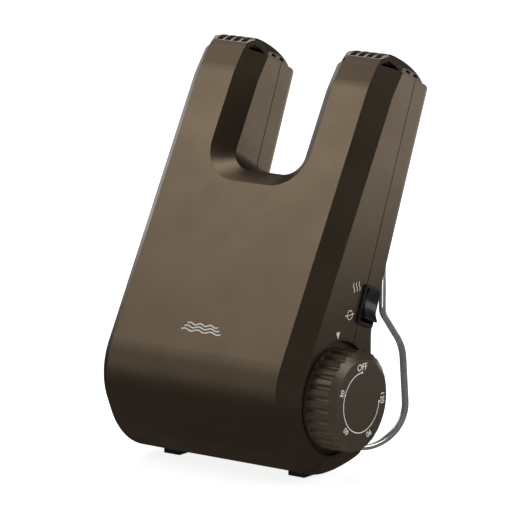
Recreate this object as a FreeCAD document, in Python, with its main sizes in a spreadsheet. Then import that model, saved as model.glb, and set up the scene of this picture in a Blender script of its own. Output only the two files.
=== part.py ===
import FreeCAD, Part
import math
import os
import Sketcher
from FreeCAD import Placement, Rotation, Vector

os.makedirs("parts", exist_ok=True)
doc = FreeCAD.newDocument("boot_dryer")

# ---------------------------------------------------------------- driving dimensions
DIMENSIONS = [
    # frame: the body leans back, the floor is z = 0, the origin is under the middle of the whole
    ("lean_angle", 29.61), ("frame_shift", 100.6), ("side_shift", 8.5), ("seam_angle", 6.9), ("seam_line", 62.1),
    ("seam_gap", 0.5), ("wall", 2.2),
    # outline of the body across its width and up its front face
    ("half_width", 68.6), ("bevel", 10.4), ("gap_half", 23.8), ("gap_floor", 192.8),
    ("gap_corner", 12.0), ("front_round", 46.0), ("floor_clear", 3.0),
    ("crown_start", 246.0), ("crown_rise", 16.0), ("crown_fall", 2.4), ("crown_round", 40.0),
    ("top_front", 260.6), ("top_back", 264.0),
    # back of the body
    ("back_plumb", 115.5), ("back_line", 82.1), ("back_round", 30.0), ("back_bend", 25.0),
    ("back_corner", 7.0), ("back_crown", 9.0),
    # outlet grille
    ("cap_height", 11.2), ("cap_front", 0.8), ("cap_end", 38.0), ("cap_inset", 1.3),
    ("cap_shell", 2.2), ("slot_pitch", 5.6), ("slot_width", 4.1), ("skirt_depth", 8.0), ("skirt_slack", 0.2),
    # timer and its knob, axis across the body
    ("dial_back", 77.9), ("dial_up", 47.6), ("dish_radius", 32.0), ("dish_floor", 65.6),
    ("knob_radius", 28.2), ("knob_face", 23.6), ("knob_start", 66.2), ("knob_end", 85.6),
    ("knob_shoulder", 82.4), ("flute_radius", 2.0), ("flute_bite", 1.2), ("flute_count", 28),
    ("hub_radius", 6.0), ("shaft_radius", 3.0), ("shaft_slack", 0.05),
    ("timer_side", 44.0), ("timer_depth", 22.0), ("timer_plate", 1.2),
    # rocker switch
    ("switch_back", 106.9), ("switch_up", 94.5), ("switch_lean", 22.7), ("bezel_long", 22.0),
    ("bezel_wide", 15.4), ("bezel_thick", 1.8), ("case_long", 20.2), ("case_wide", 13.6),
    ("case_deep", 16.0), ("rocker_long", 17.2), ("rocker_wide", 11.2), ("rocker_angle", 14.0),
    # wire stand
    ("wire_radius", 2.0), ("pivot_back", 139.3), ("pivot_up", 124.7), ("leg_reach", 56.0),
    ("clip_inner", 34.0), ("clip_width", 15.0), ("pivot_slack", 0.06),
    # feet
    ("foot_inner", 38.0), ("foot_width", 11.0), ("foot_front", 75.0), ("foot_length", 16.0),
    # blower, its axis square to the front face
    ("fan_side", -19.0), ("fan_run", 88.0), ("fan_radius", 29.0), ("fan_depth", 20.0),
    ("scroll_front", 28.0), ("scroll_back", 52.0), ("scroll_wall", 1.6), ("eye_radius", 21.0),
    # heater and duct
    ("heater_run", 134.5), ("heater_long", 25.0), ("heater_wide", 36.0), ("duct_front", 14.0),
    ("duct_back", 40.0), ("duct_wall", 1.4), ("fork_centre", 46.2), ("fork_duct", 22.0),
    # intake
    ("intake_side", -12.0), ("intake_up", 56.0), ("intake_wide", 74.0), ("intake_tall", 36.0),
]
sheet = doc.addObject("Spreadsheet::Sheet", "dims")
for row, (alias, amount) in enumerate(DIMENSIONS, start=1):
    sheet.set("A%d" % row, alias)
    sheet.set("B%d" % row, str(amount))
    sheet.setAlias("B%d" % row, alias)
doc.recompute()


class Dim:
    """A length from the sheet: its value and the expression that gives it."""

    def __init__(self, value, text):
        self.value = float(value)
        self.text = text

    def __add__(self, other):
        other = dim(other)
        return Dim(self.value + other.value, "(%s + %s)" % (self.text, other.text))

    def __radd__(self, other):
        return dim(other) + self

    def __sub__(self, other):
        other = dim(other)
        return Dim(self.value - other.value, "(%s - %s)" % (self.text, other.text))

    def __rsub__(self, other):
        return dim(other) - self

    def __mul__(self, other):
        other = dim(other)
        return Dim(self.value * other.value, "(%s * %s)" % (self.text, other.text))

    def __rmul__(self, other):
        return self * other

    def __neg__(self):
        return Dim(-self.value, "(-1 * %s)" % self.text)


def dim(amount):
    if isinstance(amount, Dim):
        return amount
    if isinstance(amount, str):
        return Dim(sheet.get(amount), "dims.%s" % amount)
    return Dim(amount, "%.6f" % amount)


LEAN = math.radians(dim("lean_angle").value)
SIN, COS = math.sin(LEAN), math.cos(LEAN)
SHIFT = dim("frame_shift").value
ASIDE = dim("side_shift").value


def leaning(x=0.0, run=0.0, depth=0.0):
    """Placement of a piece drawn on the leaning front face: X across, Y up the face, Z out of it."""
    turn = Rotation(Vector(1, 0, 0), 90.0 - math.degrees(LEAN))
    return Placement(turn.multVec(Vector(x, run, -depth)) + Vector(-ASIDE, -SHIFT, 0), turn)


def upright(x=0.0, back=0.0, up=0.0, turn=None):
    """Placement of a piece drawn in the room: Y is measured back from the foot of the front face."""
    return Placement(Vector(x - ASIDE, back - SHIFT, up), turn or Rotation())


SIDEWAYS = Rotation(Vector(0, 1, 0), 90)


# ---------------------------------------------------------------- drawing helpers
def bind(thing, name, amount):
    amount = dim(amount)
    setattr(thing, name, amount.value)
    thing.setExpression(name, amount.text)


def new_body(label, place=None):
    body = doc.addObject("PartDesign::Body", label)
    body.Label = label
    if place is not None:
        body.Placement = place
    return body


def new_sketch(body, plane="XY_Plane", offset=0.0):
    drawing = body.newObject("Sketcher::SketchObject", "Sketch")
    for item in body.Origin.OriginFeatures:
        if getattr(item, "Role", "") == plane:
            drawing.AttachmentSupport = (item, [""])
    drawing.MapMode = "FlatFace"
    drawing.AttachmentOffset = Placement(Vector(0, 0, dim(offset).value), Rotation())
    if isinstance(offset, Dim):
        drawing.setExpression("AttachmentOffset.Base.z", offset.text)
    return drawing


def tie(drawing, kind, where, amount):
    index = drawing.addConstraint(Sketcher.Constraint(kind, *where, amount.value))
    drawing.setExpression("Constraints[%d]" % index, amount.text)


def draw_polygon(drawing, corners):
    corners = [(dim(u), dim(v)) for u, v in corners]
    flat = [Vector(u.value, v.value, 0) for u, v in corners]
    count = len(flat)
    first = drawing.GeometryCount
    for number in range(count):
        drawing.addGeometry(Part.LineSegment(flat[number], flat[(number + 1) % count]))
    for number in range(count):
        after = first + (number + 1) % count
        drawing.addConstraint(Sketcher.Constraint("Coincident", first + number, 2, after, 1))
    for number, (u, v) in enumerate(corners):
        tie(drawing, "DistanceX", (-1, 1, first + number, 1), u)
        tie(drawing, "DistanceY", (-1, 1, first + number, 1), v)


def draw_rect(drawing, cu, cv, wide, tall):
    cu, cv, wide, tall = dim(cu), dim(cv), dim(wide) * 0.5, dim(tall) * 0.5
    draw_polygon(drawing, [(cu - wide, cv - tall), (cu + wide, cv - tall),
                           (cu + wide, cv + tall), (cu - wide, cv + tall)])


def draw_circle(drawing, cu, cv, radius):
    cu, cv, radius = dim(cu), dim(cv), dim(radius)
    centre = Vector(cu.value, cv.value, 0)
    index = drawing.addGeometry(Part.Circle(centre, Vector(0, 0, 1), radius.value))
    tie(drawing, "Radius", (index,), radius)
    tie(drawing, "DistanceX", (-1, 1, index, 3), cu)
    tie(drawing, "DistanceY", (-1, 1, index, 3), cv)


def pad(body, drawing, length, midplane=False, back=False):
    feature = body.newObject("PartDesign::Pad", "Pad")
    feature.Profile = drawing
    bind(feature, "Length", length)
    feature.Midplane = midplane
    feature.Reversed = back
    doc.recompute()
    return feature


def pocket(body, drawing, length, midplane=False, back=False):
    feature = body.newObject("PartDesign::Pocket", "Pocket")
    feature.Profile = drawing
    bind(feature, "Length", length)
    feature.Midplane = midplane
    feature.Reversed = back
    doc.recompute()
    return feature


def spin(body, drawing, groove=False, axis="V_Axis"):
    feature = body.newObject("PartDesign::Groove" if groove else "PartDesign::Revolution", "Turned")
    feature.Profile = drawing
    feature.ReferenceAxis = (drawing, [axis])
    feature.Angle = 360
    doc.recompute()
    return feature


def pick_edges(feature, test):
    """Names of the edges whose points all pass the test, in the body's own frame."""
    names = []
    for number, edge in enumerate(feature.Shape.Edges, start=1):
        points = edge.discretize(7)
        if all(test(point) for point in points):
            names.append("Edge%d" % number)
    return names


def dress(body, kind, feature, edges, size, field):
    dressed = body.newObject("PartDesign::" + kind, kind)
    dressed.Base = (feature, edges)
    bind(dressed, field, size)
    doc.recompute()
    return dressed


def round_edges(body, feature, edges, radius):
    return dress(body, "Fillet", feature, edges, radius, "Radius")


def bevel_edges(body, feature, edges, size):
    return dress(body, "Chamfer", feature, edges, size, "Size")


def near(a, b, slack=0.05):
    return abs(a - b) < slack


def cut(label, base, tool, place=None):
    feature = doc.addObject("Part::Cut", label)
    feature.Base = base
    feature.Tool = tool
    feature.Label = label
    doc.recompute()
    return feature


def common(label, base, tool):
    feature = doc.addObject("Part::Common", label)
    feature.Base = base
    feature.Tool = tool
    feature.Label = label
    doc.recompute()
    return feature


def fuse(label, pieces):
    feature = doc.addObject("Part::MultiFuse", label)
    feature.Shapes = pieces
    feature.Label = label
    doc.recompute()
    return feature


def group(label, pieces):
    feature = doc.addObject("Part::Compound", label)
    feature.Links = pieces
    feature.Label = label
    doc.recompute()
    return feature


def box(label, place, wide, long, tall):
    """A block centred on its placement in X and Y, standing up from it in Z."""
    feature = doc.addObject("Part::Box", label)
    feature.Label = label
    bind(feature, "Length", wide)
    bind(feature, "Width", long)
    bind(feature, "Height", tall)
    shift = Vector(-dim(wide).value / 2, -dim(long).value / 2, 0)
    feature.Placement = place.multiply(Placement(shift, Rotation()))
    doc.recompute()
    return feature


def rod(label, place, radius, length):
    feature = doc.addObject("Part::Cylinder", label)
    feature.Label = label
    bind(feature, "Radius", radius)
    bind(feature, "Height", length)
    feature.Placement = place
    doc.recompute()
    return feature


def tube(label, place, outer, inner, length):
    body = new_body(label, place)
    drawing = new_sketch(body)
    draw_circle(drawing, 0, 0, outer)
    draw_circle(drawing, 0, 0, inner)
    pad(body, drawing, length)
    return body


def screw(label, place, length, head=2.9, shank=1.4):
    """A pan-head screw, its head standing up from the placement and its shank going down."""
    body = new_body(label, place)
    drawing = new_sketch(body, "XZ_Plane")
    draw_polygon(drawing, [(0, dim(length) * -1), (shank, dim(length) * -1), (shank, 0), (head, 0),
                           (head, 1.0), (head * 0.62, 1.9), (0, 1.9)])
    spin(body, drawing)
    cross = new_sketch(body, "XY_Plane", dim(1.9))
    draw_rect(cross, 0, 0, 3.0, 0.7)
    pocket(body, cross, 0.8)
    return body


NODES = []


def node(piece, label=None):
    if label:
        piece.Label = label
    NODES.append(piece)
    return piece


# ---------------------------------------------------------------- outer and inner forms of the body
def room_to_face(back, up):
    """A point of the side view, from back and up to run and depth of the leaning face."""
    return back * SIN + up * COS, back * COS - up * SIN


def front_form(label, inset):
    """Front half of the form: flat leaning face, round bottom, forked top and the wide bevel."""
    body = new_body(label, leaning())
    low = dim("floor_clear") + inset
    side = new_sketch(body, "YZ_Plane")
    start = (low + inset * SIN) * (1.0 / COS)
    far_run, far_depth = room_to_face(170.0, 0.0)
    top = dim("crown_start") + 4.0 * dim("crown_rise")
    draw_polygon(side, [(start, -inset), (dim("crown_start"), -inset), (top, -inset - 4.0 * dim("crown_fall")),
                        (top, -far_depth), (low * COS + far_run, low * SIN - far_depth)])
    form = pad(body, side, 2 * (dim("half_width") - inset), midplane=True)
    foot = pick_edges(form, lambda p: near(p.y, start.value) and near(p.z, -inset.value))
    form = round_edges(body, form, foot, dim("front_round") - inset)
    brow = pick_edges(form, lambda p: near(p.y, dim("crown_start").value) and near(p.z, -inset.value))
    form = round_edges(body, form, brow, "crown_round")
    outline = new_sketch(body)
    draw_rect(outline, 0, dim("gap_floor") - inset + 75.0, 2 * (dim("gap_half") + inset), 150.0)
    form = pocket(body, outline, 600.0, midplane=True)
    reach = dim("gap_half").value + inset.value
    floor = dim("gap_floor").value - inset.value
    corners = pick_edges(form, lambda p: near(abs(p.x), reach) and near(p.y, floor))
    form = round_edges(body, form, corners, dim("gap_corner") + inset)
    side_at = dim("half_width").value - inset.value
    slope = dim("crown_fall").value / dim("crown_rise").value
    rear = -far_depth + 1.0

    def on_front(p):
        at_side = near(abs(p.x), side_at)
        skin = p.z > -inset.value - slope * max(0.0, p.y - dim("crown_start").value) - 1.5
        at_gap = skin and abs(p.x) < reach + 0.1 and p.y > floor - 0.1
        return at_side and p.z > rear and p.y < top.value - 0.1 or at_gap and p.y < top.value - 0.1

    rim = []
    for number, edge in enumerate(form.Shape.Edges, start=1):
        ends = [edge.valueAt(edge.FirstParameter), edge.valueAt(edge.LastParameter)]
        middle = edge.valueAt((edge.FirstParameter + edge.LastParameter) / 2)
        across = near(ends[0].y, ends[1].y) and near(ends[0].z, ends[1].z)
        through = near(ends[0].x, ends[1].x) and near(ends[0].y, ends[1].y)
        bottom = abs(middle.x) < reach + 0.1 and near(middle.y, floor) and middle.z > -10.0
        if bottom or (on_front(middle) and not across and not through):
            rim.append("Edge%d" % number)
    form = bevel_edges(body, form, rim, dim("bevel") - 0.586 * inset)
    return body


def rear_form(label, inset, closed):
    """Rear half of the form: back line, plumb part, round bottom, and rounded corners."""
    body = new_body(label, leaning())
    tilt = math.tan(math.radians(dim("lean_angle").value - dim("seam_angle").value))
    low = dim("floor_clear").value + inset.value
    plumb = dim("back_plumb").value - inset.value
    line = dim("back_line").value - inset.value * math.hypot(1.0, tilt)
    bend_up = (plumb - line) / tilt
    corners = [(-45.0, low), (plumb, low), (plumb, bend_up), (line + tilt * 268.0, 268.0),
               (line + tilt * 268.0 - 190.0, 268.0)]
    side = new_sketch(body, "YZ_Plane")
    places = [room_to_face(back, up) for back, up in corners]
    draw_polygon(side, [(run, -depth) for run, depth in places])
    form = pad(body, side, 2 * (dim("half_width") - inset), midplane=True)

    def at(place):
        return lambda p: near(p.y, place[0]) and near(p.z, -place[1])

    form = round_edges(body, form, pick_edges(form, at(places[1])), dim("back_round") - inset)
    form = round_edges(body, form, pick_edges(form, at(places[2])), dim("back_bend") + inset)
    outline = new_sketch(body)
    draw_rect(outline, 0, dim("gap_floor") - inset + 75.0, 2 * (dim("gap_half") + inset), 150.0)
    form = pocket(body, outline, 600.0, midplane=True)
    reach = dim("gap_half").value + inset.value
    floor = dim("gap_floor").value - inset.value
    found = pick_edges(form, lambda p: near(abs(p.x), reach) and near(p.y, floor))
    form = round_edges(body, form, found, dim("gap_corner") + inset)
    side_at = dim("half_width").value - inset.value

    def behind(p):
        back, up = p.y * SIN - p.z * COS, p.y * COS + p.z * SIN
        return back > line + tilt * up - 1.0 and up < 267.0 or up < low + 25.0 and back > -40.0

    rim = []
    for number, edge in enumerate(form.Shape.Edges, start=1):
        ends = [edge.valueAt(edge.FirstParameter), edge.valueAt(edge.LastParameter)]
        middle = edge.valueAt((edge.FirstParameter + edge.LastParameter) / 2)
        through = near(ends[0].x, ends[1].x) and near(ends[0].y, ends[1].y)
        across = near(ends[0].y, ends[1].y) and near(ends[0].z, ends[1].z)
        in_gap = abs(middle.x) < reach + 0.1 and middle.y > floor - 0.1
        outer = near(abs(middle.x), side_at) and not across
        if behind(middle) and not through and (outer or in_gap and middle.z < -20.0):
            rim.append("Edge%d" % number)
    form = round_edges(body, form, rim, dim("back_corner") - inset)
    if closed:
        crown = new_sketch(body, "YZ_Plane")
        rise = dim("top_back") - dim("top_front")
        draw_polygon(crown, [(dim("top_front") - rise, 45.0), (dim("top_back") + rise, -90.0),
                             (420.0, -90.0), (420.0, 45.0)])
        form = pocket(body, crown, 400.0, midplane=True)
    return body


def fork_prism(label, inset, closed=False):
    return common(label, front_form(label + "_front", inset), rear_form(label + "_rear", inset, closed))


# ---------------------------------------------------------------- places on the parting plane and on the crown
SEAM_TURN = Rotation(Vector(1, 0, 0), 90.0 - dim("lean_angle").value + dim("seam_angle").value)


def on_seam(x=0.0, run=0.0, out=0.0, turn=None):
    """Placement measured from the parting plane: run up the plane, out toward the front."""
    base = Vector(-ASIDE, dim("seam_line").value - SHIFT, 0) + SEAM_TURN.multVec(Vector(x, run, out))
    return Placement(base, SEAM_TURN.multiply(turn) if turn else SEAM_TURN)


CROWN_SLOPE = (dim("top_back").value - dim("top_front").value) / 45.0


def on_crown(x=0.0, depth=0.0, above=0.0):
    """Placement on the flat top of the forks: X across, Y back, Z out of the top."""
    start = leaning(x, dim("top_front").value + CROWN_SLOPE * depth, depth)
    turn = Rotation(Vector(1, 0, 0), -90.0 + math.degrees(math.atan(CROWN_SLOPE)))
    return start.multiply(Placement(Vector(0, 0, 0), turn)).multiply(
        Placement(Vector(0, 0, above), Rotation()))


BACKWARD = Rotation(Vector(1, 0, 0), -90)
SWITCH_TURN = Rotation(Vector(1, 0, 0), -dim("switch_lean").value).multiply(SIDEWAYS)


def at_dial(x, turn=SIDEWAYS):
    return upright(x, dim("dial_back").value, dim("dial_up").value, turn)


def at_switch(x):
    return upright(x, dim("switch_back").value, dim("switch_up").value, SWITCH_TURN)


# ---------------------------------------------------------------- the two housings
def crown_corner_tool():
    """What a round takes off the corner between the back and the crown, all across the body."""
    radius = dim("back_crown").value
    taper = math.radians(dim("seam_angle").value)
    tilt = math.tan(LEAN - taper)
    rise, fall = SIN - CROWN_SLOPE * COS, COS + CROWN_SLOPE * SIN
    up = (dim("top_front").value - dim("back_line").value * rise) / (tilt * rise + fall)
    corner = Vector(*room_to_face(dim("back_line").value + tilt * up, up), 0)
    forward, down = Vector(-CROWN_SLOPE, -1, 0).normalize(), Vector(-math.cos(taper), math.sin(taper), 0)
    half = forward.getAngle(down) / 2
    inward = (forward + down).normalize()
    centre = corner + inward * (radius / math.sin(half))
    reach = radius / math.tan(half)
    wedge = new_body("crown_wedge", leaning())
    outline = new_sketch(wedge, "YZ_Plane")
    places = [corner + forward * reach, corner - inward * 3.0, corner + down * reach, centre]
    draw_polygon(outline, [(place.x, -place.y) for place in places])
    pad(wedge, outline, 200.0, midplane=True)
    roller = rod("crown_roller", leaning(-100.0, centre.x, centre.y).multiply(
        Placement(Vector(0, 0, 0), SIDEWAYS)), radius, 200.0)
    return cut("crown_corner_tool", wedge, roller)


outer_form = cut("outer_form", fork_prism("outer_block", dim(0.0), closed=True), crown_corner_tool())
inner_form = fork_prism("inner_form", dim("wall"))
shell = cut("shell", outer_form, inner_form)
lip_start = dim("cap_end").value + 0.3
rear_lip = common("rear_lip", outer_form, box("lip_block", on_crown(0, lip_start + 5.0, -7.0), 200.0, 10.0, 12.0))
dish_block = rod("dish_block", at_dial(dim("dish_floor").value - 2.4), dim("dish_radius") + 2.2, 8.0)
dish_wall = common("dish_wall", outer_form, dish_block)
posts = []
for side in (-1, 1):
    for run in (205.0, 118.0):
        posts.append(rod("post", on_seam(side * 60.4, run, -20.0), 2.7, 65.0))
post_set = common("post_set", inner_form, fuse("post_rods", posts))
solid_shell = fuse("solid_shell", [shell, dish_wall, post_set, rear_lip])
openings = [
    rod("dish_hollow", at_dial(dim("dish_floor").value), dim("dish_radius"), 12.0),
    rod("shaft_hole", at_dial(dim("dish_floor").value - 6.0), 5.0, 12.0),
    box("switch_hole", at_switch(dim("half_width").value - 12.0), dim("case_long") + 0.2,
        dim("case_wide") + 0.2, 20.0),
    box("intake_hole", upright(dim("intake_side").value, dim("back_plumb").value - 10.0,
                               dim("intake_up").value, BACKWARD),
        dim("intake_wide") - 6.0, dim("intake_tall") - 6.0, 20.0),
    rod("cord_hole", upright(-56.0, dim("back_plumb").value - 10.0, 47.0, BACKWARD), 4.6, 20.0),
]
for side in (-1, 1):
    for run in (205.0, 118.0):
        openings.append(rod("screw_hole", on_seam(side * 60.4, run, -40.0), 1.5, 50.0))
    for run in (-10.6, 10.6):
        openings.append(rod("clip_hole", on_seam(side * 41.5, 144.8 + run, -30.0), 1.5, 24.0))
opened = cut("opened_shell", solid_shell, fuse("openings", openings))
half_gap = dim("seam_gap").value / 2
front_side = box("front_side", on_seam(0, 0, half_gap), 300.0, 700.0, 200.0)
rear_side = box("rear_side", on_seam(0, 0, -half_gap - 200.0), 300.0, 700.0, 200.0)
front_housing = node(common("front_housing", opened, front_side))
rear_cut = common("rear_cut", opened, rear_side)
rear_housing = node(rear_cut, "rear_housing")

# ---------------------------------------------------------------- outlet grilles
cap_prism = fork_prism("cap_prism", dim("cap_inset"))
skirt_prism = fork_prism("skirt_prism", dim("wall") + dim("skirt_slack"))
skirt_room = fork_prism("skirt_room", dim("wall") + dim("skirt_slack") + 1.5)


def dome(label, inset, foot):
    """Roof of an outlet, drawn down to its foot: steep in front, nearly flat on top, arched across."""
    body = new_body(label + "_side", on_crown(dim("fork_centre").value))
    side = new_sketch(body, "YZ_Plane")
    shoulder = (9.6 + 0.47 * inset, dim("cap_height") - 2.2 - 0.95 * inset)
    ridge = (27.0, dim("cap_height") - inset)
    tail = (dim("cap_end") - inset, dim("cap_height") - 2.6 - 0.8 * inset)
    draw_polygon(side, [(dim("cap_front") + 1.4 * inset + 0.98 * foot, foot), shoulder, ridge, tail,
                        (dim("cap_end") - inset, foot)])
    form = pad(body, side, 60.0, midplane=True)
    for (back, high), radius in ((shoulder, 18.0), (ridge, 26.0), (tail, 6.0)):
        place = (dim(back).value, high.value)
        edge = pick_edges(form, lambda p: near(p.y, place[0]) and near(p.z, place[1]))
        form = round_edges(body, form, edge, radius - inset)
    arch = doc.addObject("Part::Ellipsoid", label + "_arch")
    bind(arch, "Radius1", 16.2 - inset)
    bind(arch, "Radius2", 24.6 - inset)
    bind(arch, "Radius3", 34.0 - inset)
    arch.Angle1 = -90
    arch.Angle2 = 90
    arch.Placement = on_crown(dim("fork_centre").value, 21.0, -5.0)
    doc.recompute()
    return common(label, body, arch)


crown_slab = box("crown_slab", on_crown(dim("fork_centre").value, dim("cap_end").value / 2 - 3.0,
                                        -dim("skirt_depth").value),
                 60.0, dim("cap_end") + 5.0, dim("skirt_depth") + 0.6)
dome_block = common("dome_block", cap_prism, dome("dome_out", 0.0, 0.0))
dome_skin = cut("dome_skin", dome_block, dome("dome_in", dim("cap_shell").value, -1.0))
skirt_ring = cut("skirt_ring", skirt_prism, skirt_room)
skirt = common("skirt", skirt_ring, crown_slab)
cap_solid = fuse("cap_solid", [dome_skin, skirt])
slots = []
for number in range(4):
    offset = (number - 1.5) * dim("slot_pitch").value
    slots.append(box("slot", on_crown(dim("fork_centre").value + offset, 18.6, 0.8),
                     dim("slot_width"), 27.6, 20.0))
for side in (-1, 1):
    for depth in (19.0, 27.0):
        slots.append(box("latch_slot", on_crown(dim("fork_centre").value + side * 21.0, depth, 1.2),
                         6.0, 4.4, 1.3))
cap_right = node(cut("outlet_grille_right", cap_solid, fuse("slot_set", slots)))
cap_left = doc.addObject("Part::Mirroring", "outlet_grille_left")
cap_left.Source = cap_right
cap_left.Normal = Vector(1, 0, 0)
cap_left.Base = Vector(-ASIDE, 0, 0)
doc.recompute()
node(cap_left, "outlet_grille_left")

# ---------------------------------------------------------------- intake grille and filter
intake = new_body("intake_grille", upright(dim("intake_side").value, dim("back_plumb").value,
                                           dim("intake_up").value, BACKWARD))
plate = new_sketch(intake)
draw_rect(plate, 0, 0, dim("intake_wide"), dim("intake_tall"))
panel = pad(intake, plate, 2.2)
rim_edges = pick_edges(panel, lambda p: near(abs(p.x), 37.0) and near(abs(p.y), 18.0))
panel = round_edges(intake, panel, rim_edges, 4.0)
collar = new_sketch(intake)
draw_rect(collar, 0, 0, dim("intake_wide") - 6.4, dim("intake_tall") - 6.4)
draw_rect(collar, 0, 0, dim("intake_wide") - 9.4, dim("intake_tall") - 9.4)
pad(intake, collar, 4.0, back=True)
louvres = new_sketch(intake, "XY_Plane", dim(2.2))
for number in range(6):
    for side in (-1, 1):
        draw_rect(louvres, side * 16.2, -11.25 + 4.5 * number, 29.0, 2.3)
pocket(intake, louvres, 2.4)
node(intake)
node(box("intake_filter", upright(dim("intake_side").value, dim("back_plumb").value - 8.4,
                                  dim("intake_up").value, BACKWARD),
         dim("intake_wide") - 6.6, dim("intake_tall") - 6.6, 4.2))

# ---------------------------------------------------------------- blower
FAN = dict(x=dim("fan_side").value, run=dim("fan_run").value)
scroll = new_body("fan_scroll", leaning(0, 0, dim("scroll_back").value))
depth_of_scroll = dim("scroll_back") - dim("scroll_front")


def draw_scroll(body, inset, plane_offset=0.0):
    ring = new_sketch(body, "XY_Plane", plane_offset)
    draw_circle(ring, dim("fan_side") - 2.0, dim("fan_run") - 2.0, 38.4 - inset)
    throat = new_sketch(body, "XY_Plane", plane_offset)
    draw_rect(throat, 0.0, dim("fan_run") + 22.05 + inset, dim("heater_wide") - 2 * inset, 48.1 + 2 * inset)
    return ring, throat


for drawing in draw_scroll(scroll, 0.0):
    pad(scroll, drawing, depth_of_scroll)
for drawing in draw_scroll(scroll, dim("scroll_wall").value):
    pocket(scroll, drawing, depth_of_scroll - dim("scroll_wall"), back=True)
motor_hole = new_sketch(scroll, "XY_Plane", depth_of_scroll)
draw_circle(motor_hole, "fan_side", "fan_run", 5.0)
pocket(scroll, motor_hole, 6.0)
node(scroll)

cover = new_body("scroll_cover", leaning(0, 0, dim("scroll_back").value))
for drawing in draw_scroll(cover, 0.0):
    pad(cover, drawing, "scroll_wall", back=True)
eye_ring = new_sketch(cover)
draw_circle(eye_ring, "fan_side", "fan_run", dim("eye_radius") + 1.5)
pad(cover, eye_ring, dim("scroll_wall") + 3.0, back=True)
eye = new_sketch(cover)
draw_circle(eye, "fan_side", "fan_run", "eye_radius")
pocket(cover, eye, 20.0)
node(cover)

impeller = new_body("fan_impeller", leaning(FAN["x"], FAN["run"], dim("scroll_back").value - 1.6))
disc = new_sketch(impeller, "XY_Plane", dim("fan_depth") - 1.4)
draw_circle(disc, 0, 0, "fan_radius")
pad(impeller, disc, 1.4)
hub = new_sketch(impeller, "XY_Plane", dim(6.0))
draw_circle(hub, 0, 0, 7.0)
pad(impeller, hub, dim("fan_depth") - 6.5)
ring = new_sketch(impeller)
draw_circle(ring, 0, 0, "fan_radius")
draw_circle(ring, 0, 0, dim("fan_radius") - 3.0)
pad(impeller, ring, 1.4)
blade = new_sketch(impeller)
draw_polygon(blade, [(22.0, -2.2), (22.8, -2.6), (dim("fan_radius") - 0.6, 0.6),
                     (dim("fan_radius") - 1.2, 1.2)])
first_blade = pad(impeller, blade, dim("fan_depth") - 0.6)
blades = impeller.newObject("PartDesign::PolarPattern", "Blades")
blades.Originals = [first_blade]
blades.Axis = (blade, ["N_Axis"])
blades.Angle = 360
blades.Occurrences = 28
impeller.Tip = blades
doc.recompute()
bore = new_sketch(impeller, "XY_Plane", dim("fan_depth"))
draw_circle(bore, 0, 0, 1.52)
pocket(impeller, bore, 40.0)
node(impeller)

# ---------------------------------------------------------------- motor
STATOR_AT = 25.0
stator = new_body("motor_stator", leaning(FAN["x"], FAN["run"], STATOR_AT))
core = new_sketch(stator)
draw_rect(core, 0, 6.0, 42.0, 46.0)
pad(stator, core, 11.0)
bore = new_sketch(stator, "XY_Plane", dim(11.0))
draw_circle(bore, 0, 0, 10.6)
pocket(stator, bore, 11.0)
window = new_sketch(stator, "XY_Plane", dim(11.0))
draw_rect(window, 0, 17.2, 30.0, 7.6)
pocket(stator, window, 11.0)
node(stator)
coil = new_body("motor_coil", leaning(FAN["x"], FAN["run"] + 25.1, STATOR_AT - 5.5))
former = new_sketch(coil, "YZ_Plane")
draw_rect(former, 0, 0, 14.0, 16.0)
draw_rect(former, 0, 0, 8.4, 11.4)
pad(coil, former, 24.0, midplane=True)
node(coil)
rotor = tube("motor_rotor", leaning(FAN["x"], FAN["run"], STATOR_AT + 0.6), 10.1, 1.52, 12.6)
node(rotor)
node(rod("motor_shaft", leaning(FAN["x"], FAN["run"], 48.0), 1.5, 40.6))
for name, depth in (("motor_bracket_front", 11.2), ("motor_bracket_rear", 27.8)):
    bracket = new_body(name, leaning(FAN["x"], FAN["run"], depth))
    strap = new_sketch(bracket)
    draw_rect(strap, 0, 0, 42.0, 10.0)
    pad(bracket, strap, 1.6)
    bush = new_sketch(bracket)
    draw_circle(bush, 0, 0, 4.6)
    pad(bracket, bush, 1.6)
    bore = new_sketch(bracket, "XY_Plane", dim(1.6))
    draw_circle(bore, 0, 0, 1.55)
    pocket(bracket, bore, 8.0)
    node(bracket)

# ---------------------------------------------------------------- heater and forked duct
HEATER_MID = 40.0
frame = new_body("heater_frame", leaning(0, dim("heater_run").value, HEATER_MID))
cross = new_sketch(frame, "XZ_Plane")
draw_rect(cross, 0, 0, 18.0, 0.8)
pad(frame, cross, "heater_long", back=True)
cross = new_sketch(frame, "XZ_Plane")
draw_rect(cross, 0, 0, 0.8, 18.0)
pad(frame, cross, "heater_long", back=True)
node(frame)
RIBBON_PITCH, RIBBON_WIDE = 3.4, 1.6
ribbon_at = leaning(0, dim("heater_run").value + 2.3, HEATER_MID).multiply(Placement(Vector(0, 0, 0), BACKWARD))
turns = [tube("ribbon_turn", ribbon_at.multiply(Placement(Vector(0, 0, RIBBON_PITCH * number), Rotation())),
              10.2, 9.3, RIBBON_WIDE) for number in range(7)]
ribbon_link = box("ribbon_link", ribbon_at.multiply(Placement(Vector(9.75, 0, 0), Rotation())), 0.9, 1.6,
                  6 * RIBBON_PITCH + RIBBON_WIDE)
node(fuse("heater_ribbon", turns + [ribbon_link]))


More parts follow.
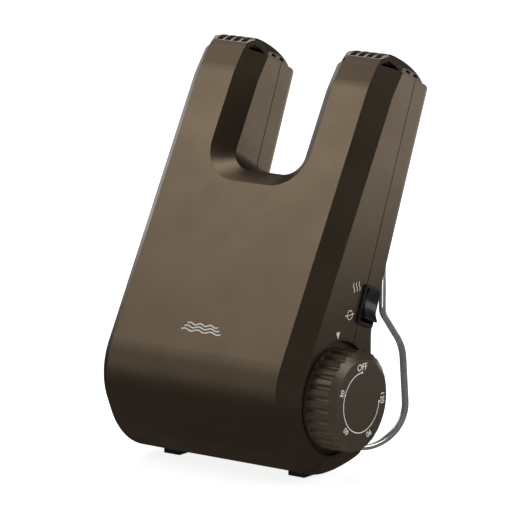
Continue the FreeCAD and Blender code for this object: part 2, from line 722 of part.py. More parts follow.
def duct_block(label, inset):
    body = new_body(label, leaning(0, 0, 0))
    base = dim("scroll_back").value
    inlet = new_sketch(body, "XY_Plane", dim(inset) - base)
    draw_rect(inlet, 0, 147.6, dim("heater_wide") - 2 * inset, 27.0 + 4 * inset)
    pad(body, inlet, depth_of_scroll - 2 * inset)
    chamber = new_sketch(body, "XY_Plane", dim(inset - 50.0))
    draw_rect(chamber, 0, 171.0, 118.0 - 2 * inset, 20.0 - 2 * inset)
    pad(body, chamber, 36.0 - 2 * inset)
    legs = new_sketch(body, "XY_Plane", dim(inset) - dim("duct_back"))
    for side in (-1, 1):
        draw_rect(legs, side * dim("fork_centre"), 210.0 + 4 * inset, dim("fork_duct") - 2 * inset,
                  80.0 + 4 * inset)
    pad(body, legs, dim("duct_back") - dim("duct_front") - 2 * inset)
    return body


node(cut("air_duct", duct_block("duct_outside", 0.0), duct_block("duct_inside", dim("duct_wall").value)))
stat_at = leaning(8.0, 148.0, dim("scroll_front").value)
thermostat = new_body("thermostat", stat_at)
can = new_sketch(thermostat)
draw_circle(can, 0, 0, 7.0)
pad(thermostat, can, 5.0)
tabs = new_sketch(thermostat, "XY_Plane", dim(5.0))
draw_rect(tabs, -3.4, 0, 1.0, 4.0)
draw_rect(tabs, 3.4, 0, 1.0, 4.0)
pad(thermostat, tabs, 5.0)
node(thermostat)
node(rod("thermal_fuse", leaning(-14.0, 148.0, dim("scroll_front").value - 1.7).multiply(
    Placement(Vector(0, 0, 0), SIDEWAYS)), 1.6, 9.0))

# ---------------------------------------------------------------- timer and knob
case_end = dim("dish_floor").value - 2.4
side_mm = dim("timer_side")
case = new_body("timer_case", at_dial(case_end - dim("timer_plate").value - dim("timer_depth").value))
walls = new_sketch(case)
draw_rect(walls, 0, 0, side_mm, side_mm)
drum = pad(case, walls, "timer_depth")
drum = round_edges(case, drum, pick_edges(drum, lambda p: near(abs(p.x), 22.0) and near(abs(p.y), 22.0)),
                   3.0)
spindle = new_sketch(case, "XY_Plane", "timer_depth")
draw_circle(spindle, 0, 0, dim("shaft_radius") + dim("shaft_slack"))
pocket(case, spindle, 10.0)
node(case)
timer_plate = new_body("timer_plate", at_dial(case_end - dim("timer_plate").value))
outline = new_sketch(timer_plate)
draw_rect(outline, 0, 0, 44.0, 30.0)
pad(timer_plate, outline, "timer_plate")
spindle = new_sketch(timer_plate, "XY_Plane", "timer_plate")
draw_circle(spindle, 0, 0, 4.0)
pocket(timer_plate, spindle, 4.0)
node(timer_plate)
node(rod("timer_shaft", at_dial(case_end - dim("timer_plate").value - 8.0), "shaft_radius", 26.0))

knob = new_body("timer_knob", at_dial(0.0))
shape = new_sketch(knob, "XZ_Plane")
start, end = dim("knob_start"), dim("knob_end")
draw_polygon(shape, [
    (0, start + 4.0), ("hub_radius", start + 4.0), ("hub_radius", end - 2.6),
    (dim("knob_radius") - 3.6, end - 4.4), (dim("knob_radius") - 3.6, start), ("knob_radius", start),
    ("knob_radius", "knob_shoulder"), ("knob_face", "knob_end"), (0, "knob_end")])
turned = spin(knob, shape)
crest = pick_edges(turned, lambda p: near(p.z, end.value) and near(math.hypot(p.x, p.y), dim("knob_face").value))
turned = round_edges(knob, turned, crest, 1.2)
flute = new_sketch(knob, "XY_Plane", dim("knob_shoulder") + 0.4)
draw_circle(flute, dim("knob_radius") + dim("flute_radius") - dim("flute_bite"), 0, "flute_radius")
first_flute = pocket(knob, flute, dim("knob_shoulder") - start - 1.6)
flutes = knob.newObject("PartDesign::PolarPattern", "Flutes")
flutes.Originals = [first_flute]
flutes.Axis = (flute, ["N_Axis"])
flutes.Angle = 360
flutes.Occurrences = int(dim("flute_count").value)
flutes.setExpression("Occurrences", "dims.flute_count")
knob.Tip = flutes
doc.recompute()
bore = new_sketch(knob)
draw_circle(bore, 0, 0, dim("shaft_radius") + 0.02)
pocket(knob, bore, 80.2, back=True)
node(knob)
knob_clip = tube("knob_clip", at_dial(dim("knob_start").value + 4.6), 7.6, dim("hub_radius") + 0.02, 3.0)
node(knob_clip)

# ---------------------------------------------------------------- rocker switch
face_at = dim("half_width").value
case = new_body("switch_case", at_switch(face_at))
bezel = new_sketch(case)
draw_rect(bezel, 0, 0, "bezel_long", "bezel_wide")
front = pad(case, bezel, "bezel_thick")
front = round_edges(case, front, pick_edges(front, lambda p: near(abs(p.x), 11.0) and near(abs(p.y), 7.7)),
                    1.2)
crest = pick_edges(front, lambda p: near(p.z, dim("bezel_thick").value))
front = bevel_edges(case, front, crest, 0.5)
barrel = new_sketch(case)
draw_rect(barrel, 0, 0, "case_long", "case_wide")
pad(case, barrel, "case_deep", back=True)
well = new_sketch(case, "XY_Plane", "bezel_thick")
draw_rect(well, 0, 0, dim("rocker_long") + 1.7, dim("rocker_wide") + 0.8)
pocket(case, well, 9.0)
axle_hole = new_sketch(case, "XZ_Plane")
draw_circle(axle_hole, 0, -2.4, 1.26)
pocket(case, axle_hole, dim("case_wide") + 0.6, midplane=True)
node(case)
rocker = new_body("switch_rocker", at_switch(face_at - 2.4).multiply(
    Placement(Vector(0, 0, 0), Rotation(Vector(0, 1, 0), -dim("rocker_angle").value / 2))))
profile = new_sketch(rocker, "XZ_Plane")
half = dim("rocker_long") * 0.5
draw_polygon(profile, [(-half, 6.1), (-half + 0.9, 6.6), (-3.4, 4.7), (3.4, 4.7), (half - 0.9, 6.6), (half, 6.1),
                       (half - 1.6, 0.6), (2.0, -2.2), (-2.0, -2.2), (-half + 1.6, 0.6)])
paddle = pad(rocker, profile, "rocker_wide", midplane=True)
hollow = pick_edges(paddle, lambda p: near(abs(p.x), 3.4) and near(p.z, 4.7))
round_edges(rocker, paddle, hollow, 12.0)
axle_bore = new_sketch(rocker, "XZ_Plane")
draw_circle(axle_bore, 0, 0, 1.2)
pad(rocker, axle_bore, dim("case_wide") - 0.2, midplane=True)
node(rocker)
terminals = new_body("switch_terminals", at_switch(face_at - dim("case_deep").value))
blades_at = new_sketch(terminals)
for number in (-1, 0, 1):
    draw_rect(blades_at, number * 7.0, 0, 0.8, 4.8)
pad(terminals, blades_at, 7.0, back=True)
node(terminals)

# ---------------------------------------------------------------- wire stand and its clips
REACH = dim("leg_reach").value
PIVOT_BACK, PIVOT_UP = dim("pivot_back").value, dim("pivot_up").value
CORNERS = [  # one half of the stand: across, back and up of each corner, then the radius of its bend
    (dim("clip_inner").value + 0.6, PIVOT_BACK, PIVOT_UP, 0.0), (REACH, PIVOT_BACK, PIVOT_UP, 5.0),
    (REACH, PIVOT_BACK, 83.6, 8.0), (REACH, 159.1, 61.1, 25.0), (REACH, 164.9, -0.3, 24.5),
    (28.4, 134.3, 3.2, 9.0), (0.0, 134.3, 3.2, 0.0)]


def bent_wire(corners):
    """Straight runs joined by tangent arcs through the corners given."""
    edges = []
    last = corners[0][0]
    for number in range(1, len(corners) - 1):
        before, (corner, radius), after = corners[number - 1][0], corners[number], corners[number + 1][0]
        into, out = (before - corner).normalize(), (after - corner).normalize()
        half_turn = (math.pi - into.getAngle(out)) / 2
        reach = radius * math.tan(half_turn)
        start, end = corner + into * reach, corner + out * reach
        middle = corner + (into + out).normalize() * (radius / math.cos(half_turn) - radius)
        edges += [Part.makeLine(last, start), Part.Arc(start, middle, end).toShape()]
        last = end
    return edges + [Part.makeLine(last, corners[-1][0])]


right_half = [(Vector(x - ASIDE, back - SHIFT, up), bend) for x, back, up, bend in CORNERS]
left_half = [(Vector(-x - ASIDE, back - SHIFT, up), bend) for x, back, up, bend in CORNERS]
wire_path = doc.addObject("Part::Feature", "stand_path")
wire_path.Shape = Part.Wire(bent_wire(right_half[:-1] + left_half[-2::-1]))
wire_loop = doc.addObject("Part::Circle", "stand_section")
bind(wire_loop, "Radius", "wire_radius")
wire_loop.Placement = Placement(right_half[0][0], SIDEWAYS)
stand = doc.addObject("Part::Sweep", "wire_stand")
stand.Sections = [wire_loop]
stand.Spine = (wire_path, ["Edge%d" % (n + 1) for n in range(len(wire_path.Shape.Edges))])
stand.Solid = True
stand.Frenet = False
doc.recompute()
node(stand, "wire_stand")

PIVOT_RUN, PIVOT_OUT = 144.8, -23.08
FACE_OUT = -18.45
for side, name in ((-1, "stand_clip_left"), (1, "stand_clip_right")):
    start_x = dim("clip_inner").value if side > 0 else -dim("clip_inner").value - dim("clip_width").value
    clip = new_body(name, on_seam(start_x, 0, 0))
    profile = new_sketch(clip, "YZ_Plane")
    draw_polygon(profile, [(PIVOT_RUN - 14.0, FACE_OUT), (PIVOT_RUN - 14.0, FACE_OUT - 2.4),
                           (PIVOT_RUN - 6.4, FACE_OUT - 2.4), (PIVOT_RUN - 4.4, FACE_OUT - 8.6),
                           (PIVOT_RUN + 4.4, FACE_OUT - 8.6), (PIVOT_RUN + 6.4, FACE_OUT - 2.4),
                           (PIVOT_RUN + 14.0, FACE_OUT - 2.4), (PIVOT_RUN + 14.0, FACE_OUT)])
    lump = pad(clip, profile, "clip_width")
    hole = new_sketch(clip, "YZ_Plane")
    draw_circle(hole, PIVOT_RUN, PIVOT_OUT, dim("wire_radius") + dim("pivot_slack"))
    pocket(clip, hole, 40.0, midplane=True)
    holes = new_sketch(clip, "XY_Plane", dim(FACE_OUT - 10.0))
    for run in (-10.6, 10.6):
        draw_circle(holes, dim("clip_width") * 0.5, PIVOT_RUN + run, 1.5)
    pocket(clip, holes, 20.0, back=True)
    node(clip)
OVER = Rotation(Vector(1, 0, 0), 180)
clip_screws = []
for side in (-1, 1):
    for run in (-10.6, 10.6):
        clip_screws.append(screw("clip_screw", on_seam(side * 41.5, PIVOT_RUN + run, FACE_OUT - 2.4, OVER),
                                 6.4, 2.6))
node(group("clip_screws", clip_screws))
housing_screws = []
for side in (-1, 1):
    for run in (205.0, 118.0):
        housing_screws.append(screw("housing_screw", on_seam(side * 60.4, run, FACE_OUT, OVER), 27.0, 2.6))
node(group("housing_screws", housing_screws))

# ---------------------------------------------------------------- feet and cord entry
feet = []
for side in (-1, 1):
    centre = side * (dim("foot_inner").value + dim("foot_width").value / 2)
    feet.append(box("foot", upright(centre, dim("foot_front").value + dim("foot_length").value / 2, 0.0),
                    "foot_width", "foot_length", "floor_clear"))
node(group("front_feet", feet))
gland = new_body("cord_gland", upright(-56.0, dim("back_plumb").value, 47.0, BACKWARD))
flange = new_sketch(gland)
draw_circle(flange, 0, 0, 6.4)
draw_circle(flange, 0, 0, 3.0)
pad(gland, flange, 2.4)
sleeve = new_sketch(gland)
draw_circle(sleeve, 0, 0, 4.5)
draw_circle(sleeve, 0, 0, 3.0)
pad(gland, sleeve, 6.0, back=True)
node(gland)
block = new_body("terminal_block", upright(29.0, 84.0, 14.0))
outline = new_sketch(block)
draw_rect(outline, 0, 0, 15.0, 18.0)
pad(block, outline, 8.0)
wells = new_sketch(block, "XY_Plane", dim(8.0))
for number in (-1, 0, 1):
    draw_circle(wells, 0, number * 5.4, 1.7)
pocket(block, wells, 5.0)
node(block)

# ---------------------------------------------------------------- check and write
bad = [thing.Name for thing in doc.Objects if "Invalid" in thing.State or "Error" in thing.State]
if bad:
    print("not built:", bad)
for piece in NODES:
    solid = piece.Shape
    if solid.isNull() or not solid.isValid() or not solid.Solids:
        print("faulty:", piece.Label, solid.isNull())
        continue
    print(piece.Label, len(solid.Solids), round(solid.Volume), [round(v, 1) for v in (
        solid.BoundBox.XMin, solid.BoundBox.XMax, solid.BoundBox.YMin, solid.BoundBox.YMax,
        solid.BoundBox.ZMin, solid.BoundBox.ZMax)])
    solid.exportStep("parts/%s.step" % piece.Label)
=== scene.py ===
import bmesh
import bpy
import math
from mathutils import Matrix, Vector


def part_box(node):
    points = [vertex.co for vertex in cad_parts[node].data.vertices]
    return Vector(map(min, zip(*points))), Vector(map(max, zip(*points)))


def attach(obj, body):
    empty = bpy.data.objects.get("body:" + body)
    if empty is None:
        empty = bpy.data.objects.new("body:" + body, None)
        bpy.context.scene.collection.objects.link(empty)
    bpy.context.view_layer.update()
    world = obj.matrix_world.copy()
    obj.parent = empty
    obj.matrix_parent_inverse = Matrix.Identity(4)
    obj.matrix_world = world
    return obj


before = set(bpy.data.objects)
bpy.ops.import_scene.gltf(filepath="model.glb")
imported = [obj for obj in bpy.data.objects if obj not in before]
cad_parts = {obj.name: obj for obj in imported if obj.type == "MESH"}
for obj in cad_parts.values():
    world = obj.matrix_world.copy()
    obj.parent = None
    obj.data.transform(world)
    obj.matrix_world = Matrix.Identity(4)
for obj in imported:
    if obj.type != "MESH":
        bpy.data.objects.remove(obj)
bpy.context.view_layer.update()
MM = 0.001
LEAN = math.radians(29.61)
FACE_FOOT = -0.1006  # where the plane of the leaning front face meets the floor

# ---------------------------------------------------------------- camera
VIEW_AZIMUTH = math.radians(36.61)
VIEW_DROP = math.radians(11.842)
CAMERA_PLACE = Vector((1.665, -2.257, 0.7044))
LENS_MM = 361.13
forward = Vector((-math.sin(VIEW_AZIMUTH) * math.cos(VIEW_DROP),
                  math.cos(VIEW_AZIMUTH) * math.cos(VIEW_DROP), -math.sin(VIEW_DROP)))
camera_data = bpy.data.cameras.new("camera")
camera_data.lens = LENS_MM
camera_data.sensor_width = 36.0
camera_data.clip_start = 0.1
camera_data.clip_end = 50.0
camera = bpy.data.objects.new("camera", camera_data)
camera.location = CAMERA_PLACE
camera.rotation_mode = "QUATERNION"
camera.rotation_quaternion = forward.to_track_quat("-Z", "Y")
bpy.context.scene.collection.objects.link(camera)
bpy.context.scene.camera = camera


# ---------------------------------------------------------------- colour and node helpers
def linear(hex_colour):
    """An sRGB hex colour as linear red, green, blue and alpha."""
    channels = [int(hex_colour[i:i + 2], 16) / 255 for i in (0, 2, 4)]
    return tuple(c / 12.92 if c <= 0.04045 else ((c + 0.055) / 1.055) ** 2.4 for c in channels) + (1.0,)


def add(tree, kind, inputs=None, **settings):
    """Adds a node, sets its settings, and gives its inputs a value or a link."""
    item = tree.nodes.new(kind)
    for name, value in settings.items():
        setattr(item, name, value)
    for name, value in (inputs or {}).items():
        if isinstance(value, bpy.types.NodeSocket):
            tree.links.new(value, item.inputs[name])
        else:
            item.inputs[name].default_value = value
    return item


def new_material(name):
    """An empty material with its tree, its surface shader and object coordinates."""
    material = bpy.data.materials.new(name)
    material.use_nodes = True
    tree = material.node_tree
    tree.nodes.clear()
    shader = add(tree, "ShaderNodeBsdfPrincipled")
    add(tree, "ShaderNodeOutputMaterial", {"Surface": shader.outputs[0]})
    place = add(tree, "ShaderNodeTexCoord").outputs["Object"]
    return material, tree, shader, place


def grain(tree, place, size_mm, detail=2.0, stretch=(1, 1, 1)):
    """Noise whose patches are about size_mm wide."""
    scale = 1000.0 / size_mm
    spread = add(tree, "ShaderNodeMapping", {"Vector": place, "Scale": stretch})
    return add(tree, "ShaderNodeTexNoise", {"Vector": spread.outputs[0], "Scale": scale,
                                            "Detail": detail}).outputs[0]


def between(tree, factor, low, high):
    """A number that goes from low to high with factor."""
    return add(tree, "ShaderNodeMapRange", {"Value": factor, "From Min": 0.3, "From Max": 0.7,
                                            "To Min": low, "To Max": high}).outputs[0]


def mottle(tree, factor, first, second):
    """A colour between two hex colours."""
    ramp = add(tree, "ShaderNodeValToRGB", {"Fac": factor})
    ramp.color_ramp.elements[0].position = 0.35
    ramp.color_ramp.elements[0].color = linear(first)
    ramp.color_ramp.elements[1].position = 0.65
    ramp.color_ramp.elements[1].color = linear(second)
    return ramp.outputs[0]


def edge_mask(tree, radius_mm):
    """Near 1 at the sharp edges of a piece, 0 on its flats."""
    rounded = add(tree, "ShaderNodeBevel", {"Radius": radius_mm * MM}, samples=4)
    flat = add(tree, "ShaderNodeNewGeometry").outputs["Normal"]
    turn = add(tree, "ShaderNodeVectorMath", {0: rounded.outputs[0], 1: flat}, operation="DOT_PRODUCT")
    return add(tree, "ShaderNodeMapRange", {"Value": turn.outputs["Value"], "From Min": 0.98,
                                            "From Max": 0.80, "To Min": 0.0, "To Max": 1.0}).outputs[0]


def relief(tree, height, depth_mm, round_mm=0.0):
    """A bump of the given depth, over edges softened by round_mm."""
    under = {}
    if round_mm:
        under["Normal"] = add(tree, "ShaderNodeBevel", {"Radius": round_mm * MM}, samples=4).outputs[0]
    return add(tree, "ShaderNodeBump", {"Height": height, "Distance": depth_mm * MM,
                                        "Strength": 1.0, **under}).outputs[0]


def worn_edges(tree, body, radius_mm, amount, highlight_colour):
    """The body colour, going part of the way to a lighter hex colour at the sharp edges: a painted edge
    highlight.
    """
    # painted highlight: the sharp edges are lightened in the colour itself, in place of the light they
    # would catch
    highlight_share = add(tree, "ShaderNodeMath", {0: edge_mask(tree, radius_mm), 1: amount}, operation="MULTIPLY")
    return add(tree, "ShaderNodeMix", {"Factor": highlight_share.outputs[0], "A": body, "B": linear(highlight_colour)},
               data_type="RGBA").outputs["Result"]


# ---------------------------------------------------------------- materials
def pearl_lacquer(name, base, flake, highlight_colour, roughness, sheen_metal):
    """Moulded ABS under a thin bronze-brown pearl lacquer: the pigment tints its reflections brown."""
    material, tree, shader, place = new_material(name)
    flakes = grain(tree, place, 0.35, 1.0)
    clouds = grain(tree, place, 24.0, 2.0)
    body = mottle(tree, flakes, base, flake)
    # painted highlight: the sharp edges go part way to the lighter third colour
    coloured = worn_edges(tree, body, 0.5, 0.35, highlight_colour)
    tree.links.new(coloured, shader.inputs["Base Color"])
    shader.inputs["Metallic"].default_value = sheen_metal
    tree.links.new(between(tree, clouds, roughness - 0.02, roughness + 0.03), shader.inputs["Roughness"])
    peel = grain(tree, place, 1.6, 1.0)
    tree.links.new(relief(tree, peel, 0.006, 0.45), shader.inputs["Normal"])
    return material


def moulded(name, first, second, roughness, grit_mm, depth_mm, round_mm=0.3, highlight_colour="8A8478"):
    """Moulded plastic with a fine spark-eroded grain, its sharp edges painted lighter as a highlight."""
    material, tree, shader, place = new_material(name)
    fine = grain(tree, place, grit_mm, 2.0)
    broad = grain(tree, place, 14.0, 2.0)
    body = mottle(tree, broad, first, second)
    # painted highlight on the sharp edges
    coloured = worn_edges(tree, body, 0.4, 0.25, highlight_colour)
    tree.links.new(coloured, shader.inputs["Base Color"])
    tree.links.new(between(tree, broad, roughness - 0.04, roughness + 0.05), shader.inputs["Roughness"])
    tree.links.new(relief(tree, fine, depth_mm, round_mm), shader.inputs["Normal"])
    return material


def metal(name, first, second, roughness, scratch_mm=0.25, stretch=(1, 1, 1), depth_mm=0.002, pure=1.0):
    """Bare or plated metal with fine drawing marks along it; a hazed plating is less than pure."""
    material, tree, shader, place = new_material(name)
    marks = grain(tree, place, scratch_mm, 2.0, stretch)
    clouds = grain(tree, place, 9.0, 3.0)
    tree.links.new(mottle(tree, clouds, first, second), shader.inputs["Base Color"])
    shader.inputs["Metallic"].default_value = pure
    tree.links.new(between(tree, clouds, roughness * 0.8, roughness * 1.25), shader.inputs["Roughness"])
    tree.links.new(relief(tree, marks, depth_mm), shader.inputs["Normal"])
    return material


def foam(name):
    """Open-cell filter foam: dark pores about a millimetre across in charcoal polyurethane."""
    material, tree, shader, place = new_material(name)
    cells = add(tree, "ShaderNodeTexVoronoi", {"Vector": place, "Scale": 900.0}).outputs["Distance"]
    tree.links.new(mottle(tree, cells, "0C0C0C", "3A3A39"), shader.inputs["Base Color"])
    shader.inputs["Roughness"].default_value = 0.95
    tree.links.new(relief(tree, cells, 0.5), shader.inputs["Normal"])
    return material


def print_ink(name, colour):
    """Pad-printed ink: matt, a touch uneven where it thins."""
    material, tree, shader, place = new_material(name)
    patches = grain(tree, place, 0.6, 2.0)
    tree.links.new(mottle(tree, patches, colour, "F4F3EE"), shader.inputs["Base Color"])
    shader.inputs["Roughness"].default_value = 0.55
    return material


# the third colour of each lacquer is a lighter colour painted on its sharp edges as a highlight
shell_finish = pearl_lacquer("pearl lacquered ABS", "665948", "706251", "8E806F",
                             roughness=0.35, sheen_metal=0.88)
cap_finish = pearl_lacquer("pearl lacquered ABS grille", "665B4F", "706457", "93866F",
                           roughness=0.38, sheen_metal=0.85)
knob_finish = pearl_lacquer("pearl lacquered ABS knob", "584D40", "605446", "A4968A",
                            roughness=0.33, sheen_metal=0.5)
# each moulded finish has a lighter colour painted on its sharp edges as a highlight
switch_finish = moulded("moulded nylon, black", "1B1A19", "201F1E",
                        roughness=0.32, grit_mm=0.4, depth_mm=0.004)
rocker_finish = moulded("polished nylon rocker", "1E1D1C", "242322",
                        roughness=0.25, grit_mm=0.5, depth_mm=0.002)
clip_finish = moulded("moulded acetal clip", "161412", "1C1A18",
                      roughness=0.42, grit_mm=0.5, depth_mm=0.006)
grille_finish = moulded("moulded ABS grille, matt", "241E19", "2A231D",
                        roughness=0.5, grit_mm=0.5, depth_mm=0.01)
rubber_finish = moulded("black rubber", "100F0F", "181716",
                        roughness=0.72, grit_mm=0.6, depth_mm=0.012, highlight_colour="2A2928")
blower_finish = moulded("glass-filled nylon, black", "151515", "1C1C1C",
                        roughness=0.55, grit_mm=0.6, depth_mm=0.01)
white_finish = moulded("natural polypropylene", "C9C7BE", "D6D4CB",
                       roughness=0.45, grit_mm=0.6, depth_mm=0.004)
timer_finish = moulded("ivory phenolic", "C2BCAC", "CFC9BA",
                       roughness=0.5, grit_mm=0.5, depth_mm=0.006)
mica_finish = moulded("mica sheet", "9A8764", "B39F7A",
                      roughness=0.4, grit_mm=1.2, depth_mm=0.01)
chrome_finish = metal("nickel-chrome plated wire", "E6E6E4", "F0F0EE", roughness=0.16,
                      scratch_mm=0.5, stretch=(1, 1, 0.2), depth_mm=0.001, pure=0.85)
zinc_finish = metal("zinc-plated steel", "9C9A92", "B2B0A8", roughness=0.34)
steel_finish = metal("ground steel", "A6A6A4", "B8B8B6", roughness=0.22,
                     scratch_mm=0.15, stretch=(1, 1, 8))
stack_finish = metal("stacked electrical steel", "5E5F62", "76777A", roughness=0.45,
                     scratch_mm=0.5, stretch=(1, 8, 8), depth_mm=0.02)
copper_finish = metal("enamelled copper winding", "9A4E2A", "B8683C", roughness=0.3,
                      scratch_mm=0.35, stretch=(8, 1, 1), depth_mm=0.03)
brass_finish = metal("plated brass", "B59A5C", "C6AC70", roughness=0.3)
foam_finish = foam("open-cell foam")
mark_ink = print_ink("white pad print", "E2E0D8")
faint_ink = print_ink("grey pad print", "B7B9AE")

FINISHES = {
    shell_finish: ["front_housing", "rear_housing"],
    cap_finish: ["outlet_grille_right", "outlet_grille_left"],
    knob_finish: ["timer_knob"],
    switch_finish: ["switch_case"],
    rocker_finish: ["switch_rocker"],
    clip_finish: ["stand_clip_left", "stand_clip_right"],
    grille_finish: ["intake_grille"],
    rubber_finish: ["front_feet", "cord_gland"],
    blower_finish: ["fan_scroll", "scroll_cover", "air_duct"],
    white_finish: ["fan_impeller", "terminal_block"],
    timer_finish: ["timer_case"],
    mica_finish: ["heater_frame"],
    chrome_finish: ["wire_stand"],
    zinc_finish: ["clip_screws", "housing_screws", "timer_plate", "motor_bracket_front",
                  "motor_bracket_rear", "heater_ribbon", "knob_clip"],
    steel_finish: ["motor_shaft", "timer_shaft", "thermostat", "thermal_fuse", "motor_rotor"],
    stack_finish: ["motor_stator"],
    copper_finish: ["motor_coil"],
    brass_finish: ["switch_terminals"],
    foam_finish: ["intake_filter"],
}
for finish, names in FINISHES.items():
    for name in names:
        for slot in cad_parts[name].material_slots:
            slot.material = finish


# ---------------------------------------------------------------- printed marks
PRINT_THICK = 0.05 * MM
CAPITAL_HEIGHT = 0.69  # of a capital, as a share of the font's size
INK_FLAT = Matrix.Diagonal((1, 1, 0.12, 1))  # presses a round stroke down to a film of ink


def printed(name, curve, place, body, ink):
    """Makes a flat text or curve a thin mesh, sets it in place and prints it on a body."""
    holder = bpy.data.objects.new(name + "_drawing", curve)
    bpy.context.scene.collection.objects.link(holder)
    bpy.context.view_layer.update()
    mesh = bpy.data.meshes.new_from_object(holder.evaluated_get(bpy.context.evaluated_depsgraph_get()))
    bpy.data.objects.remove(holder)
    mesh.name = name
    mesh.transform(place)
    mesh.materials.clear()
    mesh.materials.append(ink)
    piece = bpy.data.objects.new(name, mesh)
    bpy.context.scene.collection.objects.link(piece)
    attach(piece, body)


def word(text, height_mm):
    """A short text, centred, with capitals height_mm high."""
    curve = bpy.data.curves.new("word", "FONT")
    curve.body = text
    curve.size = height_mm * MM / CAPITAL_HEIGHT
    curve.align_x = "CENTER"
    curve.align_y = "CENTER"
    curve.extrude = PRINT_THICK
    curve.resolution_u = 4
    return curve


def stroke(points, width_mm, closed=False):
    """A smooth flat line through points in millimetres."""
    curve = bpy.data.curves.new("stroke", "CURVE")
    curve.dimensions = "3D"
    curve.bevel_mode = "ROUND"
    curve.bevel_depth = width_mm * MM / 2
    curve.bevel_resolution = 1
    curve.use_fill_caps = True
    spline = curve.splines.new("POLY")
    spline.points.add(len(points) - 1)
    for point, (u, v) in zip(spline.points, points):
        point.co = (u * MM, v * MM, 0, 1)
    spline.use_cyclic_u = closed
    return curve


dial_low, dial_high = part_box("timer_knob")
DIAL_CENTRE = Vector((dial_high.x, (dial_low.y + dial_high.y) / 2, (dial_low.z + dial_high.z) / 2))
TO_SIDE = Matrix(((0, 0, 1), (1, 0, 0), (0, 1, 0))).to_4x4()
OFF_TURN = -2.0
MINUTE_TURN = 67.5 / 30
ARC_TURN = 264.0
ARC_RADIUS = 16.8
ARC_STEPS = 60
ARC_WIDTH = 0.55
DOT_MINUTES = (0, 30, 117.3)
DOT_RADIUS = 0.6
LETTER_RADIUS = 19.7
OFF_HEIGHT = 3.7
NUMBER_HEIGHT = 3.2


def on_dial(turn_deg, radius_mm):
    """Place on the knob's face: turn is anticlockwise from the top, letters stand outward."""
    spin = Matrix.Rotation(math.radians(turn_deg), 4, "Z")
    out = Matrix.Translation((0, radius_mm * MM, 0))
    return Matrix.Translation(DIAL_CENTRE) @ TO_SIDE @ spin @ out


for minutes in (0, 30, 60, 90, 120):
    label, height = (str(minutes), NUMBER_HEIGHT) if minutes else ("OFF", OFF_HEIGHT)
    printed("dial_" + label, word(label, height), on_dial(OFF_TURN + minutes * MINUTE_TURN, LETTER_RADIUS),
            "knob_set", mark_ink)
arc_points = []
for step in range(ARC_STEPS + 1):
    turn = math.radians(OFF_TURN + ARC_TURN * step / ARC_STEPS)
    arc_points.append((-ARC_RADIUS * math.sin(turn), ARC_RADIUS * math.cos(turn)))
printed("dial_arc", stroke(arc_points, ARC_WIDTH), on_dial(0, 0) @ INK_FLAT, "knob_set", mark_ink)


def patch(points):
    """A filled flat shape with its corners in millimetres."""
    curve = bpy.data.curves.new("patch", "CURVE")
    curve.dimensions = "2D"
    curve.fill_mode = "BOTH"
    curve.extrude = PRINT_THICK
    spline = curve.splines.new("POLY")
    spline.points.add(len(points) - 1)
    for point, (u, v) in zip(spline.points, points):
        point.co = (u * MM, v * MM, 0, 1)
    spline.use_cyclic_u = True
    return curve


def ring_of(radius_mm, count):
    """Points spaced evenly round a circle, in millimetres."""
    turns = [math.radians(360.0 * number / count) for number in range(count)]
    return [(radius_mm * math.cos(turn), radius_mm * math.sin(turn)) for turn in turns]


for number, minutes in enumerate(DOT_MINUTES):
    printed("dial_dot_%d" % number, patch(ring_of(DOT_RADIUS, 16)),
            on_dial(OFF_TURN + minutes * MINUTE_TURN, ARC_RADIUS), "knob_set", mark_ink)


WAVE_STEPS = 24


def wave(length_mm, height_mm, turns, rise_mm, upright=False):
    """A wavy line across, or upright, with its middle at rise_mm to the side."""
    steps = WAVE_STEPS * turns
    line = []
    for step in range(steps + 1):
        along = length_mm * (step / steps - 0.5)
        side = rise_mm + height_mm / 2 * math.sin(2 * math.pi * turns * step / steps)
        line.append((side, along) if upright else (along, side))
    return line


SIDE_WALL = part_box("front_housing")[1].x


def on_side(back_mm, up_mm):
    """Place on the flat side wall beside the switch, upright, standing outward."""
    return Matrix.Translation((SIDE_WALL, back_mm * MM, up_mm * MM)) @ TO_SIDE


POINTER_HALF = 1.75
POINTER_RISE = 2.0
WARM_PLACE = on_side(-3.6, 107.0)
WARM_SPACING = 2.6
COOL_PLACE = on_side(-10.1, 92.3)
COOL_RADIUS = 2.5
COOL_REACH = 4.3
COOL_WIDTH = 0.55
pointer = [(-POINTER_HALF, POINTER_RISE), (POINTER_HALF, POINTER_RISE), (0.0, -POINTER_RISE)]
printed("dial_pointer", patch(pointer), on_side(-21.2, 82.5), "body", mark_ink)
for number in range(3):
    warm = stroke(wave(5.4, 1.0, 1, WARM_SPACING * (number - 1), upright=True), 0.6)
    printed("warm_mark_%d" % number, warm, WARM_PLACE @ INK_FLAT, "body", faint_ink)
cool_ring = stroke(ring_of(COOL_RADIUS, 32), COOL_WIDTH, closed=True)
cool_bar = stroke([(-COOL_REACH, 0.0), (COOL_REACH, 0.0)], COOL_WIDTH)
printed("cool_mark_ring", cool_ring, COOL_PLACE @ INK_FLAT, "body", faint_ink)
printed("cool_mark_bar", cool_bar, COOL_PLACE @ INK_FLAT, "body", faint_ink)

# a plain air motif in the middle of the front face, which leans back
FACE_UP = Vector((0, math.sin(LEAN), math.cos(LEAN)))
FACE_OUT = Vector((0, -math.cos(LEAN), math.sin(LEAN)))
TO_FACE = Matrix((Vector((1, 0, 0)), FACE_UP, FACE_OUT)).transposed().to_4x4()
MOTIF_RIGHT = -0.0095
MOTIF_UP = 0.0833
MOTIF_LENGTH = 27.0
MOTIF_TAPER = 3.0
MOTIF_SPACING = 1.9
motif_place = Matrix.Translation((MOTIF_RIGHT, FACE_FOOT + MOTIF_UP * math.tan(LEAN), MOTIF_UP)) @ TO_FACE
for number in range(3):
    line = wave(MOTIF_LENGTH - MOTIF_TAPER * number, 1.1, 3, MOTIF_SPACING * (number - 1))
    printed("air_motif_%d" % number, stroke(line, 0.75), motif_place @ INK_FLAT, "body", mark_ink)


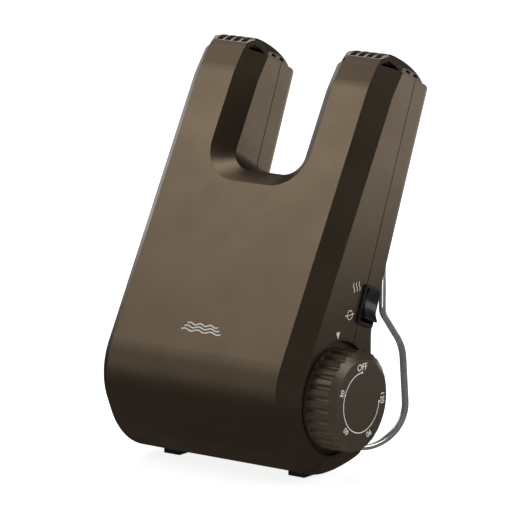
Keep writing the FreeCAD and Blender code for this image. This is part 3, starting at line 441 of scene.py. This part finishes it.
# ---------------------------------------------------------------- floor and light
def panel(name, place, aim, wide, tall, power):
    """A soft box that faces a point and is not seen itself; metres and watts."""
    data = bpy.data.lights.new(name, "AREA")
    data.shape = "RECTANGLE"
    data.size = wide
    data.size_y = tall
    data.energy = power
    lamp = bpy.data.objects.new(name, data)
    lamp.location = place
    lamp.rotation_mode = "QUATERNION"
    lamp.rotation_quaternion = (Vector(aim) - Vector(place)).to_track_quat("-Z", "Y")
    lamp.visible_camera = False
    bpy.context.scene.collection.objects.link(lamp)
    return lamp


def studio_sheet(name, half_size, shift, paint_name, colour, roughness, specular):
    """A flat square sheet that belongs to the studio, with its own matt paint."""
    mesh = bpy.data.meshes.new(name)
    form = bmesh.new()
    bmesh.ops.create_grid(form, x_segments=1, y_segments=1, size=half_size)
    bmesh.ops.translate(form, verts=form.verts, vec=shift)
    form.to_mesh(mesh)
    form.free()
    sheet = bpy.data.objects.new(name, mesh)
    bpy.context.scene.collection.objects.link(sheet)
    paint, _, shader, _ = new_material(paint_name)
    shader.inputs["Base Color"].default_value = linear(colour)
    shader.inputs["Roughness"].default_value = roughness
    shader.inputs["Specular IOR Level"].default_value = specular
    mesh.materials.append(paint)
    return sheet, shader


FLOOR_GLOW = 0.86
FLAG_SHIFT = (0.0, -0.95, 0.0005)  # in front of the object, just above the floor
floor_shader = studio_sheet("floor", 20.0, (0.0, 0.0, 0.0), "white studio floor", "F6F6F6", 0.9, 0.1)[1]
floor_shader.inputs["Emission Color"].default_value = (1, 1, 1, 1)
floor_shader.inputs["Emission Strength"].default_value = FLOOR_GLOW

# the flag darkens the reflections of the glossy lower front and is seen in nothing else
flag = studio_sheet("black_flag", 1.5, FLAG_SHIFT, "black studio velvet", "060606", 1.0, 0.0)[0]
for ray in ("camera", "diffuse", "shadow", "transmission"):
    setattr(flag, "visible_" + ray, False)

WORLD_GLOW = 0.03
world = bpy.data.worlds.new("studio")
world.use_nodes = True
world.node_tree.nodes["Background"].inputs["Color"].default_value = (1, 1, 1, 1)
world.node_tree.nodes["Background"].inputs["Strength"].default_value = WORLD_GLOW
bpy.context.scene.world = world
MIDDLE = (0.0, 0.0, 0.12)
panel("front_left_box", (-1.14, -1.14, 1.34), MIDDLE, 1.4, 1.05, 4.3)
panel("back_left_box", (-1.16, 0.92, 1.46), MIDDLE, 1.0, 0.9, 8.0)
panel("low_front_box", (-1.25, -1.55, 0.42), MIDDLE, 1.2, 0.5, 1.1)
panel("near_top_box", (-0.45, -0.38, 0.66), (0.0, 0.02, 0.2), 0.30, 0.22, 0.34)
panel("right_box", (1.5, 0.6, 0.9), MIDDLE, 0.8, 0.8, 7.0)
panel("overhead_box", (0.0, 0.2, 2.4), MIDDLE, 1.4, 1.4, 16.0)

# the plated wire has three cards of its own, which light nothing else
wire_only = bpy.data.collections.new("wire_only")
wire_only.objects.link(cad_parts["wire_stand"])
for name, place, aim, wide, tall, power in (
        ("wire_card_low", (0.3, -0.8, 0.01), (0.3, -0.8, 1.0), 1.8, 1.2, 12.0),
        ("wire_card_left", (-1.2, -0.5, 0.5), MIDDLE, 0.9, 0.9, 6.5),
        ("wire_card_right", (1.1, -0.9, 0.7), MIDDLE, 0.7, 0.9, 5.0)):
    panel(name, place, aim, wide, tall, power).light_linking.receiver_collection = wire_only
bpy.context.scene.view_settings.view_transform = "Standard"
